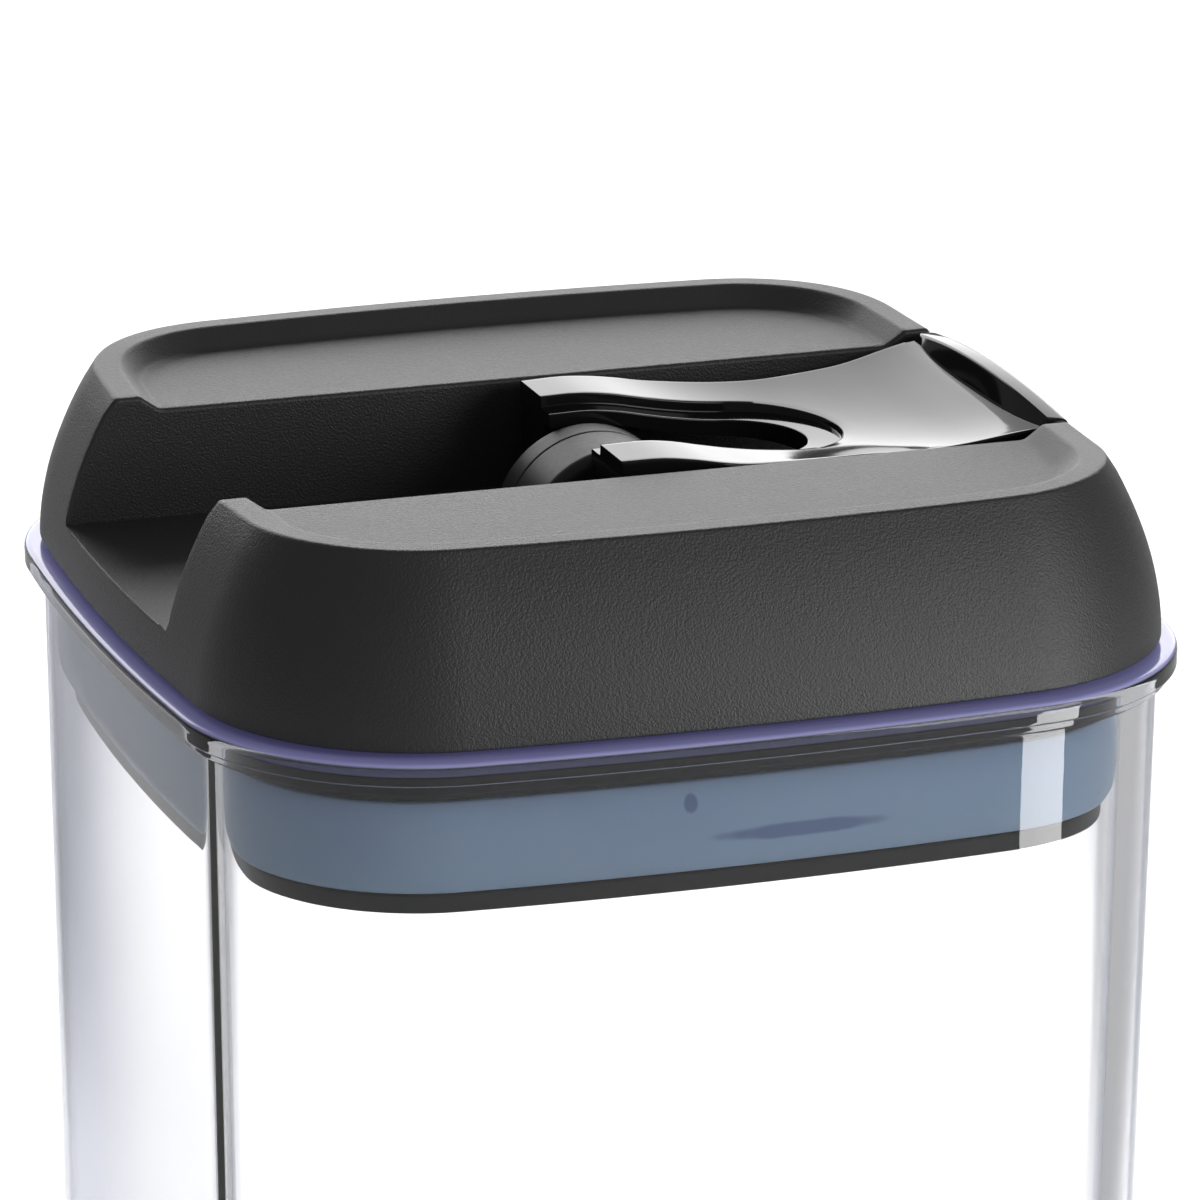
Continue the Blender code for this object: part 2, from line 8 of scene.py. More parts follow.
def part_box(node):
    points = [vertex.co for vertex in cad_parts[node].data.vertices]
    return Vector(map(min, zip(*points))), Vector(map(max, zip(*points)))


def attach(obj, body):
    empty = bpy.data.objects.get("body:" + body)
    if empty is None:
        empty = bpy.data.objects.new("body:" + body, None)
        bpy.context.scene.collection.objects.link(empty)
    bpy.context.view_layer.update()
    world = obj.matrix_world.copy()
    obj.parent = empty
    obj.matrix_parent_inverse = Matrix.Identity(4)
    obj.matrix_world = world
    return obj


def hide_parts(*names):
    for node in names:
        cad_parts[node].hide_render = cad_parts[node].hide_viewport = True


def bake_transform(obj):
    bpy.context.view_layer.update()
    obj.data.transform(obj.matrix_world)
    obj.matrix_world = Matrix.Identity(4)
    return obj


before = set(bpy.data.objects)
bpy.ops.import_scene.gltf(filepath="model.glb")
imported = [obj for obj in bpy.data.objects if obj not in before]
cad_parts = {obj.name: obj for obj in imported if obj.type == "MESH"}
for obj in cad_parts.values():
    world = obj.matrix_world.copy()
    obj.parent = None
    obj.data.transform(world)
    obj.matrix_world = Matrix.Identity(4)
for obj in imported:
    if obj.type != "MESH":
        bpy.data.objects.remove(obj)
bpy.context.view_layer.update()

# Shapes are made in millimetres about the middle of the canister's rim, then placed in the frame.
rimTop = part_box("canister_body")[1].z
toFrame = Matrix.Translation((0, 0, rimTop)) @ Matrix.Diagonal((0.001, 0.001, 0.001, 1))

bpy.context.scene.view_settings.view_transform = "Standard"


# looks
class Wire:
    # One socket's output, so that sums can be written as sums.
    def __init__(self, look, socket):
        self.look = look
        self.socket = socket

    def combined(self, operation, first, second=0.0):
        return self.look.node("Math", {"operation": operation}, {0: first, 1: second})

    def __add__(self, other):
        return self.combined("ADD", self, other)

    def __radd__(self, other):
        return self.combined("ADD", other, self)

    def __sub__(self, other):
        return self.combined("SUBTRACT", self, other)

    def __rsub__(self, other):
        return self.combined("SUBTRACT", other, self)

    def __mul__(self, other):
        return self.combined("MULTIPLY", self, other)

    def __rmul__(self, other):
        return self.combined("MULTIPLY", other, self)

    def __truediv__(self, other):
        return self.combined("DIVIDE", self, other)

    def __abs__(self):
        return self.combined("ABSOLUTE", self)


class Look:
    # A material with one Principled shader. Fixed values go straight on the shader.
    def __init__(self, name, **fixed):
        self.material = bpy.data.materials.new(name)
        self.material.use_nodes = True
        self.tree = self.material.node_tree
        self.shader = self.tree.nodes["Principled BSDF"]
        for socket, value in fixed.items():
            self.shader.inputs[socket.replace("_", " ")].default_value = value

    def node(self, kind, settings, values, output=0):
        made = self.tree.nodes.new("ShaderNode" + kind)
        for key, value in settings.items():
            setattr(made, key, value)
        for key, value in values.items():
            self.join(value, made.inputs[key])
        return Wire(self, made.outputs[output])

    def join(self, value, socket):
        if isinstance(value, Wire):
            self.tree.links.new(value.socket, socket)
        else:
            socket.default_value = value

    def place(self, stretch=(1, 1, 1)):
        where = self.node("TexCoord", {}, {}, "Object")
        return self.node("Mapping", {}, {"Vector": where, "Scale": stretch})

    def noise(self, size, detail=2.0, stretch=(1, 1, 1), roughness=0.5):
        # size is the width of one lump, in metres
        values = {"Vector": self.place(stretch), "Scale": 1 / size, "Detail": detail, "Roughness": roughness}
        return self.node("TexNoise", {}, values, "Fac")

    def blend(self, share, first, second):
        return self.node("Mix", {"data_type": "RGBA"}, {0: share, 6: first, 7: second}, 2)

    def step(self, value, low, high):
        # 0 below low, 1 above high, smooth between
        values = {"Value": value, "From Min": low, "From Max": high}
        return self.node("MapRange", {"interpolation_type": "SMOOTHSTEP"}, values, "Result")

    def axis(self, letter):
        return self.node("SeparateXYZ", {}, {"Vector": self.place()}, letter)

    def bump(self, height, depth, strength=1.0):
        # depth is the height of the relief, in metres
        values = {"Height": height, "Distance": depth, "Strength": strength}
        self.set("Normal", self.node("Bump", {}, values, "Normal"))

    def set(self, socket, value):
        self.join(value, self.shader.inputs[socket])


def grey(level, blue=1.0):
    return (level, level, level * blue, 1.0)


# Sizes of the painted light on the clear plastic, in metres: a glowing band under the rim's top and a glowing
# line along the rim's step.
clearSizes = {
    "paintedBandDrop": 0.00012,
    "fade": 0.0003,
    "paintedBandShare": 0.95,
    "paintedLineDrop": 0.0023,
    "paintedLineShare": 0.4,
}


def clearPlastic():
    # Clear walls with painted shade that turns them grey-blue where they are seen edge on, and painted light:
    # a violet glow in the rim's top and a line along its step.
    look = Look("clear_plastic", IOR=1.49, Transmission_Weight=1.0)
    # Painted shade: the colour goes grey-blue where a wall is seen edge on, standing in for the darker light
    # that comes through the wall there.
    facing = look.node("LayerWeight", {}, {"Blend": 0.5}, "Facing")
    paintedEdgeShade = look.step(facing, 0.71, 0.82)
    look.set("Base Color", look.blend(paintedEdgeShade, (0.995, 0.995, 1, 1), (0.34, 0.37, 0.48, 1)))
    scuffs = look.step(look.noise(0.0011, 4, (1, 1, 0.25)), 0.62, 0.8)
    look.set("Roughness", 0.008 + scuffs * 0.03)
    look.bump(look.noise(0.02, 1), 0.00002, 0.4)
    tint = look.tree.nodes.new("ShaderNodeVolumeAbsorption")
    tint.inputs["Color"].default_value = (0.62, 0.66, 0.94, 1)
    tint.inputs["Density"].default_value = 10
    look.tree.links.new(tint.outputs[0], look.tree.nodes["Material Output"].inputs["Volume"])
    # Painted light: a band just under the rim's top mixes in a violet shader with its own emission, standing
    # in for light caught in the rim.
    top = rimTop - clearSizes["paintedBandDrop"]
    paintedGlowBand = look.step(look.axis("Z"), top - clearSizes["fade"], top)
    # Painted light: a thin line at the height of the rim's step mixes in the same glowing shader.
    fromPaintedLine = abs(look.axis("Z") - (rimTop - clearSizes["paintedLineDrop"]))
    paintedLineMask = 1 - look.step(fromPaintedLine, 0.00006, 0.00022)
    # the shader of the painted light, diffuse colour plus a faint emission
    paintedLightShader = look.tree.nodes.new("ShaderNodeBsdfPrincipled")
    paintedLightColour = look.blend(look.noise(0.006), (0.46, 0.45, 0.92, 1), (0.58, 0.58, 0.96, 1))
    look.join(look.blend(paintedGlowBand, (0.42, 0.46, 0.54, 1), paintedLightColour), paintedLightShader.inputs["Base Color"])
    paintedLightShader.inputs["Roughness"].default_value = 0.12
    paintedLightShader.inputs["Emission Color"].default_value = (0.25, 0.24, 0.62, 1)
    paintedLightShader.inputs["Emission Strength"].default_value = 0.12
    mixed = look.tree.nodes.new("ShaderNodeMixShader")
    look.join(paintedGlowBand * clearSizes["paintedBandShare"] + paintedLineMask * clearSizes["paintedLineShare"], mixed.inputs["Fac"])
    look.tree.links.new(look.shader.outputs[0], mixed.inputs[1])
    look.tree.links.new(paintedLightShader.outputs[0], mixed.inputs[2])
    look.tree.links.new(mixed.outputs[0], look.tree.nodes["Material Output"].inputs["Surface"])
    return look.material


def grainedBlack():
    look = Look("grained_black", IOR=1.5, Specular_IOR_Level=0.6)
    grain = look.noise(0.00026, 2, roughness=0.6)
    cloud = look.noise(0.009, 3)
    look.set("Base Color", look.blend(cloud, grey(0.022), grey(0.029, 1.02)))
    look.set("Roughness", 0.38 + grain * 0.16)
    look.bump(grain, 0.00009, 1.0)
    return look.material


def glossBlack():
    look = Look("gloss_black", IOR=1.5, Specular_IOR_Level=0.2)
    scuffs = look.step(look.noise(0.0008, 5, (0.15, 1, 1)), 0.6, 0.9)
    look.set("Base Color", look.blend(look.noise(0.012), grey(0.008), grey(0.011)))
    look.set("Roughness", 0.06 + scuffs * 0.05)
    look.bump(look.noise(0.006, 1), 0.00004, 0.35)
    return look.material


def satinBlack():
    look = Look("satin_black", IOR=1.5, Specular_IOR_Level=0.3)
    grain = look.noise(0.0004, 3)
    look.set("Base Color", look.blend(look.noise(0.01), grey(0.007), grey(0.011)))
    look.set("Roughness", 0.40 + grain * 0.12)
    look.bump(grain, 0.00003, 0.5)
    return look.material


def postGrey():
    look = Look("post_grey", IOR=1.5, Specular_IOR_Level=0.3)
    grain = look.noise(0.0005, 3)
    drawn = look.noise(0.0007, 3, (0.2, 1, 1))
    look.set("Base Color", look.blend(look.noise(0.006), grey(0.022), grey(0.032)))
    look.set("Roughness", 0.36 + grain * 0.14)
    look.bump(grain * 0.5 + drawn * 0.5, 0.00004, 0.6)
    return look.material


# where the ring touches the wall, in metres:
# middle along X, middle above the rim's plane, half length, half height
touchPatches = ((-0.0064, -0.0079, 0.0008, 0.0011), (0.0055, -0.0119, 0.0095, 0.0009))


def blueSilicone():
    look = Look("blue_silicone", IOR=1.42, Subsurface_Weight=0.2, Subsurface_Scale=0.003)
    look.shader.inputs["Subsurface Radius"].default_value = (0.6, 0.8, 1.0)
    cloud = look.noise(0.012, 2)
    colour = look.blend(cloud, (0.43, 0.62, 0.84, 1), (0.51, 0.70, 0.92, 1))
    uneven = look.noise(0.003, 2) * 0.8
    front = 1 - look.step(look.axis("Y"), -0.048, -0.047)
    for middle, height, length, tall in touchPatches:
        along = (look.axis("X") - middle) / length
        up = (look.axis("Z") - (rimTop + height)) / tall
        inside = 1 - look.step(along * along + up * up + uneven, 0.8, 1.6)
        colour = look.blend(inside * front * 0.75, colour, (0.15, 0.24, 0.50, 1))
    look.set("Base Color", colour)
    look.set("Roughness", 0.42 + look.noise(0.0006, 2) * 0.12)
    look.bump(look.noise(0.004, 2), 0.00006, 0.4)
    return look.material


def plainSteel():
    look = Look("plain_steel", Metallic=1.0)
    drawn = look.noise(0.0003, 3, (1, 0.1, 1))
    look.set("Base Color", look.blend(drawn, grey(0.5), grey(0.66)))
    look.set("Roughness", 0.24 + drawn * 0.16)
    look.bump(drawn, 0.00002, 0.4)
    return look.material


looks = {
    "clear": clearPlastic(),
    "cover": grainedBlack(),
    "gloss": glossBlack(),
    "satin": satinBlack(),
    "post": postGrey(),
    "silicone": blueSilicone(),
    "steel": plainSteel(),
}
print("looks made")


# shared shape work
def box(low, high):
    bm = bmesh.new()
    bmesh.ops.create_cube(bm, size=1.0)
    low, high = Vector(low), Vector(high)
    bmesh.ops.scale(bm, vec=high - low, verts=bm.verts)
    bmesh.ops.translate(bm, vec=(low + high) / 2, verts=bm.verts)
    return bm


def rod(radius, place, bottom, top, sides=64):
    bm = bmesh.new()
    depth = top - bottom
    bmesh.ops.create_cone(bm, cap_ends=True, segments=sides, radius1=radius, radius2=radius, depth=depth)
    bmesh.ops.translate(bm, vec=(place[0], place[1], (bottom + top) / 2), verts=bm.verts)
    return bm


def vertsIn(geometry):
    return [item for item in geometry if isinstance(item, bmesh.types.BMVert)]


def asObject(bm, name):
    bmesh.ops.recalc_face_normals(bm, faces=bm.faces)
    mesh = bpy.data.meshes.new(name)
    bm.to_mesh(mesh)
    bm.free()
    thing = bpy.data.objects.new(name, mesh)
    bpy.context.scene.collection.objects.link(thing)
    return thing


def combined(bm, operation, *others):
    # Booleans between closed shapes, with the result as a new bmesh
    main = asObject(bm, "main")
    extras = [asObject(other, "other") for other in others]
    for extra in extras:
        modifier = main.modifiers.new("combine", "BOOLEAN")
        modifier.operation = operation
        modifier.object = extra
    graph = bpy.context.evaluated_depsgraph_get()
    result = bmesh.new()
    result.from_object(main, graph)
    for thing in [main, *extras]:
        mesh = thing.data
        bpy.data.objects.remove(thing)
        bpy.data.meshes.remove(mesh)
    bmesh.ops.remove_doubles(result, verts=result.verts, dist=0.0005)
    return result


def rounded(bm, edges, radius, segments=3):
    bmesh.ops.bevel(
        bm, geom=edges, offset=radius, offset_type="OFFSET", segments=segments, profile=0.5,
        affect="EDGES", clamp_overlap=False, material=-1,
    )


def makePiece(name, bm, look, stands, body=None, sharp=35):
    bmesh.ops.transform(bm, matrix=toFrame, verts=bm.verts)
    piece = asObject(bm, name)
    piece.data.materials.append(looks[look])
    piece.data.shade_smooth()
    piece.data.set_sharp_from_angle(angle=math.radians(sharp))
    flat = piece.modifiers.new("flat_faces", "WEIGHTED_NORMAL")
    flat.keep_sharp = True
    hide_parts(stands)
    if body:
        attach(piece, body)
    print("made", name, len(piece.data.polygons), "faces")
    return piece


# the rounded square that the body and the lid share
outline = {"half": 56.0, "corner": 26.2, "side": 392.7, "cornerSteps": 22, "sideSteps": 14}
sideCentre = outline["half"] - outline["side"]
sideTurn = math.acos(-sideCentre / ((outline["side"] - outline["corner"]) * math.sqrt(2))) - math.pi / 4
cornerCentre = (outline["side"] - outline["corner"]) * math.sin(sideTurn)


def outward(point):
    # unit direction away from the outline, at a point on or near it
    far, near = max(abs(point.x), abs(point.y)), min(abs(point.x), abs(point.y))
    if math.atan2(near, far - sideCentre) < sideTurn:
        far -= sideCentre
    else:
        far, near = far - cornerCentre, near - cornerCentre
    flat = (far, near) if abs(point.x) >= abs(point.y) else (near, far)
    return Vector((math.copysign(flat[0], point.x), math.copysign(flat[1], point.y), 0)).normalized()


def outlineX(half, y):
    # where the +X side of the rounded square of this half width stands at y
    side = half - sideCentre
    if abs(y) <= side * math.sin(sideTurn):
        return sideCentre + math.sqrt(side**2 - y**2)
    corner = outline["corner"] - outline["half"] + half
    return cornerCentre + math.sqrt(corner**2 - (abs(y) - cornerCentre) ** 2)


def roundedSquare(bm, half, height):
    side = half - sideCentre
    corner = cornerCentre, cornerCentre, height
    start = Vector((sideCentre + side * math.cos(sideTurn), -side * math.sin(sideTurn), height))
    tip = bm.verts.new(start)
    for quarter in range(4):
        turned = Matrix.Rotation(quarter * math.pi / 2, 3, "Z")
        runs = (
            ((sideCentre, 0, height), 2 * sideTurn, outline["sideSteps"]),
            (corner, math.pi / 2 - 2 * sideTurn, outline["cornerSteps"]),
        )
        for centre, angle, steps in runs:
            arc = bmesh.ops.spin(
                bm, geom=[tip], cent=turned @ Vector(centre), axis=(0, 0, 1), angle=angle, steps=steps
            )
            tip = vertsIn(arc["geom_last"])[0]
    bmesh.ops.remove_doubles(bm, verts=bm.verts, dist=0.02)
    return bm.edges[:]


def softened(points, steps=5, apart=0.25):
    # Corners given as (half width, height, radius) become arcs, with a row of points close to each end.
    path = [Vector(point[:2]) for point in points]
    radii = [point[2] if len(point) > 2 else 0 for point in points]
    result = []
    for index, (here, radius) in enumerate(zip(path, radii)):
        if not radius:
            result.append(here)
            continue
        back, ahead = path[index - 1] - here, path[index + 1] - here
        reach = radius / math.tan(back.angle(ahead) / 2)
        before = here + back.normalized() * min(reach, back.length / 2)
        after = here + ahead.normalized() * min(reach, ahead.length / 2)
        if back.length > 2 * reach + 2 * apart:
            result.append(before + back.normalized() * apart)
        for step in range(steps + 1):
            share = step / steps
            result.append(before.lerp(here, share).lerp(here.lerp(after, share), share))
        if ahead.length > 2 * reach + 2 * apart:
            result.append(after + ahead.normalized() * apart)
    return result


def swept(profile, closed=False):
    # Carries the outline along a profile of half widths and heights, then closes it.
    bm = bmesh.new()
    edges = roundedSquare(bm, *profile[0])
    first, here = edges, profile[0]
    for half, height in profile[1:]:
        grown = bmesh.ops.extrude_edge_only(bm, edges=edges)["geom"]
        moved = vertsIn(grown)
        for vert in moved:
            vert.co += outward(vert.co) * (half - here[0])
            vert.co.z += height - here[1]
        ring = set(moved)
        edges = [e for e in grown if isinstance(e, bmesh.types.BMEdge) and ring.issuperset(e.verts)]
        here = (half, height)
    if closed:
        bmesh.ops.bridge_loops(bm, edges=edges + first)
    else:
        bmesh.ops.holes_fill(bm, edges=edges + first, sides=0)
    return bm


def bodyHalf(height):
    return outline["half"] - bodySizes["rimReach"] + bodySizes["draft"] * height


def boreHalf(height):
    return bodyHalf(height) - bodySizes["wall"]


# clear body
bodySizes = {
    "base": -135.0,
    "rimReach": 2.1,
    "rimDepth": 3.4,
    "rimStep": 2.3,
    "stepReach": 0.8,
    "rimRound": 0.8,
    "wall": 3.6,
    "draft": 0.0128,
    "floor": 4.5,
    "baseRound": 3.0,
    "footWidth": 9.2,
    "footRecess": 0.8,
}


def makeBody():
    size = bodySizes
    base, under, step = size["base"], -size["rimDepth"], -size["rimStep"]
    rim, lip = outline["half"], outline["half"] - size["stepReach"]
    foot = bodyHalf(base) - size["footWidth"]
    floor = base + size["floor"]
    points = [
        (foot - 1, base + size["footRecess"]),
        (foot, base + size["footRecess"], 0.2),
        (foot + 0.5, base, 0.3),
        (bodyHalf(base), base, size["baseRound"]),
        (bodyHalf(under), under, 0.35),
        (lip, under, 0.3),
        (lip, step, 0.2),
        (rim, step, 0.25),
        (rim, 0, size["rimRound"]),
        (boreHalf(0), 0, 0.5),
        (boreHalf(floor), floor, size["baseRound"]),
        (boreHalf(floor) - 8, floor),
    ]
    makePiece("clear_body", swept(softened(points)), "clear", "canister_body", "canister")


makeBody()


# lid cover
coverSizes = {
    "foot": 0.7,
    "footHalf": 54.24,
    "top": 20.15,
    "topHalf": 47.9,
    "bulge": 1.9,
    "wall": 2.2,
    "edgeWidth": 2.8,
    "edgeSlope": 2.2,
    "deck": 18.0,
    "edgeDip": 0.6,
    "channel": 20.0,
    "floor": 5.8,
    "edgeRound": 0.5,
    "sillRound": 0.25,
    "levels": 14,
    "hollowCore": 40.0,  # the hollow's flat ends start here: nearer the middle, its corners would cross
    "hollowLevels": 8,
    "boss": 3.4,
    "pilot": 1.8,
    "pilotTop": 6.1,
}
screwPlaces = [(x, y) for x in (-30.04, 30.04) for y in (-34.04, 34.04)]
postSizes = {"x": 1.3, "radius": 10.2, "centre": 6.3, "half": 6.0, "cheek": 3.9, "gap": 0.3}


def coverHalf(height):
    size = coverSizes
    share = max(0.0, (height - size["foot"]) / (size["top"] - size["foot"]))
    return size["footHalf"] - (size["footHalf"] - size["topHalf"]) * share ** size["bulge"]


def eased(share):
    share = min(1.0, max(0.0, share))
    return share * share * (3 - 2 * share)


def postHole(bottom, top):
    reach, half = postSizes["radius"] + postSizes["gap"], postSizes["half"] + postSizes["gap"]
    return box((postSizes["x"] - reach, -half, bottom), (postSizes["x"] + reach, half, top))


def hollow():
    # The empty space in the cover's two sides, round the four screw bosses.
    size = coverSizes
    low, high = size["floor"] - size["wall"] - 0.6, size["deck"] - size["wall"]
    points = [(size["hollowCore"], low)]
    for level in range(size["hollowLevels"]):
        height = low + (high - low - 1.5) * level / (size["hollowLevels"] - 1)
        points.append((coverHalf(height) - size["wall"] - 0.05, height))
    points += [(coverHalf(high) - size["wall"] - 0.4, high, 1.2), (size["hollowCore"], high)]
    reach, side = outline["half"] + 5, size["channel"] + size["wall"]
    middle = box((-reach, -side, 0), (reach, side, 30))
    bosses = [rod(size["boss"], place, low - 2, high + 2, 32) for place in screwPlaces]
    return combined(swept(softened(points)), "DIFFERENCE", middle, *bosses)


def makeCover():
    size = coverSizes
    ceiling = size["floor"] - size["wall"]
    points = [
        (coverHalf(ceiling) - size["wall"] - 4, ceiling),
        (coverHalf(ceiling) - size["wall"], ceiling, 0.5),
        (size["footHalf"] - size["wall"], size["foot"], 0.2),
        (size["footHalf"], size["foot"], 0.35),
    ]
    for level in range(1, size["levels"]):
        height = size["foot"] + 1 + (size["top"] - size["foot"] - 2) * level / size["levels"]
        points.append((coverHalf(height), height))
    points += [
        (size["topHalf"], size["top"], 0.6),
        (size["topHalf"] - size["edgeWidth"], size["top"], 0.8),
        (size["topHalf"] - size["edgeWidth"] - size["edgeSlope"], size["deck"], 1.3),
        (size["topHalf"] - 14, size["deck"]),
    ]
    bm = swept(softened(points))
    for vert in bm.verts:
        raised = max(0.0, (vert.co.z - size["deck"]) / (size["top"] - size["deck"]))
        share = eased((abs(vert.co.y) - size["channel"]) / (size["topHalf"] / 2))
        vert.co.z -= size["edgeDip"] * (1 - share) * raised
    reach = outline["half"] + 5
    channel = box((-reach, -size["channel"], size["floor"]), (reach, size["channel"], 2 * size["top"]))
    bm = combined(bm, "DIFFERENCE", channel, postHole(0, size["floor"] + 2))
    bm = combined(bm, "DIFFERENCE", hollow())
    pilots = [rod(size["pilot"], place, 2, size["pilotTop"], 24) for place in screwPlaces]
    bm = combined(bm, "DIFFERENCE", *pilots)
    above = size["floor"] - 0.01
    onWall = {v for v in bm.verts if abs(abs(v.co.y) - size["channel"]) < 0.01 and v.co.z > above}
    edges = [e for e in bm.edges if onWall.issuperset(e.verts) and e.is_convex and e.calc_face_angle(0) > 0.3]
    rounded(bm, edges, size["edgeRound"])
    # The sill at each end of the channel is softened less, so that its corners stay whole.
    sill = [
        e
        for e in bm.edges
        if all(abs(v.co.z - size["floor"]) < 0.01 and abs(v.co.x) > 40 for v in e.verts)
        and max(abs(v.co.y) for v in e.verts) < size["channel"] - 0.8
        and e.is_convex
        and e.calc_face_angle(0) > 0.3
    ]
    rounded(bm, sill, size["sillRound"], 2)
    makePiece("cover_shell", bm, "cover", "lid_cover", "lid")


makeCover()

# plug under the cover
plugSizes = {"play": 0.5, "drop": 5.5, "skirt": 2.0, "web": 2.0, "flangeTop": 2.5, "screwHole": 1.8}


def makePlug():
    size = plugSizes
    skirt = boreHalf(0) - size["play"]
    inside = skirt - size["skirt"]
    flange = coverSizes["footHalf"] - coverSizes["wall"] - 0.3
    web = size["web"] - size["drop"]
    points = [
        (inside - 8, -size["drop"]),
        (skirt, -size["drop"], 0.6),
        (skirt, 0.3, 0.25),
        (flange, 0.3, 0.3),
        (flange, size["flangeTop"], 0.3),
        (inside, size["flangeTop"], 0.3),
        (inside, web, 0.8),
        (inside - 8, web),
    ]
    holes = [rod(size["screwHole"], place, -9, 0, 24) for place in screwPlaces]
    bm = combined(swept(softened(points, 4)), "DIFFERENCE", postHole(-9, 1), *holes)
    makePiece("lid_plug", bm, "satin", "lid_base", "lid")


makePlug()

# seal, pressure plate and its cap
sealSizes = {"top": -5.8, "bottom": -15.7, "width": 4.4, "inset": 1.0, "gap": 0.3, "rows": 16}
plateSizes = {"top": -16.0, "bottom": -18.0, "upstandTop": -6.4, "upstand": 1.8, "bossRise": 4.0}
capSizes = {"radius": 10.5, "thick": 1.2, "notch": 1.6, "notchDeep": 0.6}
plateScrews = {"bossRadius": 14.5, "spread": 5.0, "head": 3.1, "headDeep": 2.3, "hole": 1.8}


def sealHalf(height):
    size = sealSizes
    middle = (size["top"] + size["bottom"]) / 2
    share = (height - middle) / (size["top"] - middle)
    return boreHalf(height) - size["gap"] - size["inset"] * abs(share) ** 3


def makeSeal():
    size = sealSizes
    depth = size["top"] - size["bottom"]
    inner = sealHalf(size["bottom"]) + size["inset"] - size["width"]
    points = [(inner, size["bottom"] + depth * row / 4) for row in range(5)]
    points.append((sealHalf(size["top"]), size["top"], 0.5))
    for row in range(1, size["rows"]):
        height = size["top"] - depth * row / size["rows"]
        points.append((sealHalf(height), height))
    points.append((sealHalf(size["bottom"]), size["bottom"], 0.5))
    points.append((inner + 0.4, size["bottom"]))
    bm = swept(softened(points), closed=True)
    piece = makePiece("seal_ring", bm, "silicone", "silicone_gasket")
    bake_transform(piece)


def makePlate():
    size = plateSizes
    edge = sealHalf(sealSizes["bottom"]) - 0.5
    upstand = sealHalf(sealSizes["bottom"]) + sealSizes["inset"] - sealSizes["width"] - 0.3
    points = [
        (edge - 12, size["bottom"]),
        (edge, size["bottom"], 0.25),
        (edge, size["top"], 0.3),
        (upstand, size["top"], 0.2),
        (upstand, size["upstandTop"], 0.4),
        (upstand - size["upstand"], size["upstandTop"], 0.4),
        (upstand - size["upstand"], size["top"], 1.0),
        (upstand - 10, size["top"]),
    ]
    place = (postSizes["x"], 0)
    boss = rod(plateScrews["bossRadius"], place, size["top"] - 1, size["top"] + size["bossRise"])
    bm = combined(swept(softened(points, 4)), "UNION", boss)
    seat = size["bottom"] + capSizes["thick"] + 0.3
    cuts = [rod(capSizes["radius"] + 0.3, place, size["bottom"] - 2, seat)]
    for side in (-1, 1):
        well = (postSizes["x"] + side * plateScrews["spread"], 0)
        cuts.append(rod(plateScrews["head"], well, size["bottom"], seat + plateScrews["headDeep"], 32))
        cuts.append(rod(plateScrews["hole"], well, size["bottom"], size["top"] + size["bossRise"] + 1, 24))
    bm = combined(bm, "DIFFERENCE", *cuts)
    makePiece("squeeze_plate", bm, "satin", "pressure_plate", "plunger")


def makeCap():
    bottom = plateSizes["bottom"]
    bm = rod(capSizes["radius"], (postSizes["x"], 0), bottom, bottom + capSizes["thick"], 96)
    edges = [e for e in bm.edges if all(v.co.z < bottom + 0.1 for v in e.verts)]
    rounded(bm, edges, 0.25)
    edge = (postSizes["x"] + capSizes["radius"], 0)
    notch = rod(capSizes["notch"], edge, bottom - 1, bottom + capSizes["notchDeep"], 32)
    bm = combined(bm, "DIFFERENCE", notch)
    makePiece("cap_disc", bm, "satin", "screw_cap", "plunger")


makeSeal()
makePlate()
makeCap()

# pull post
axle = {"height": 12.0, "radius": 2.08}


def archway(front, back, bottom, roundFront, roundBack):
    # A half-round head on straight sides, extruded along Y.
    size = postSizes
    bm = bmesh.new()
    tip = bm.verts.new((size["x"] + size["radius"], front, size["centre"]))
    foot = bm.verts.new((size["x"] + size["radius"], front, bottom))
    bm.edges.new((foot, tip))
    centre = (size["x"], front, size["centre"])
    arc = bmesh.ops.spin(bm, geom=[tip], cent=centre, axis=(0, -1, 0), angle=math.pi, steps=40)
    end = vertsIn(arc["geom_last"])[0]
    last = bm.verts.new((size["x"] - size["radius"], front, bottom))
    bm.edges.new((end, last))
    bm.edges.new((last, foot))
    bmesh.ops.contextual_create(bm, geom=bm.edges[:])
    grown = bmesh.ops.extrude_face_region(bm, geom=bm.faces[:])["geom"]
    bmesh.ops.translate(bm, vec=(0, back - front, 0), verts=vertsIn(grown))
    bmesh.ops.recalc_face_normals(bm, faces=bm.faces)
    for y, radius in ((front, roundFront), (back, roundBack)):
        onFace = {v for v in bm.verts if abs(v.co.y - y) < 0.01 and v.co.z > bottom + 0.1}
        edges = [e for e in bm.edges if onFace.issuperset(e.verts)]
        rounded(bm, edges, radius, 5)
    return bm


def axleHole(reach=20):
    bm = rod(axle["radius"], (0, 0), -reach, reach, 48)
    bmesh.ops.rotate(bm, matrix=Matrix.Rotation(math.pi / 2, 3, "X"), verts=bm.verts)
    bmesh.ops.translate(bm, vec=(postSizes["x"], 0, axle["height"]), verts=bm.verts)
    return bm


def makePost():
    size = postSizes
    seam = size["half"] - size["cheek"]
    low = plateSizes["top"] + plateSizes["bossRise"] + 0.3
    stem = archway(-size["half"], seam - 0.1, low, 1.3, 0.25)
    rear = box((size["x"] - size["radius"], 0, low), (size["x"] + size["radius"], size["half"], 0.9))
    bm = combined(stem, "UNION", rear)
    bm = combined(bm, "DIFFERENCE", axleHole())
    makePiece("post_head", bm, "post", "pull_post", "plunger")
    cheek = combined(archway(seam, size["half"], 1.0, 0.25, 0.8), "DIFFERENCE", axleHole())
    makePiece("head_cheek", cheek, "post", "post_cheek", "plunger")


makePost()

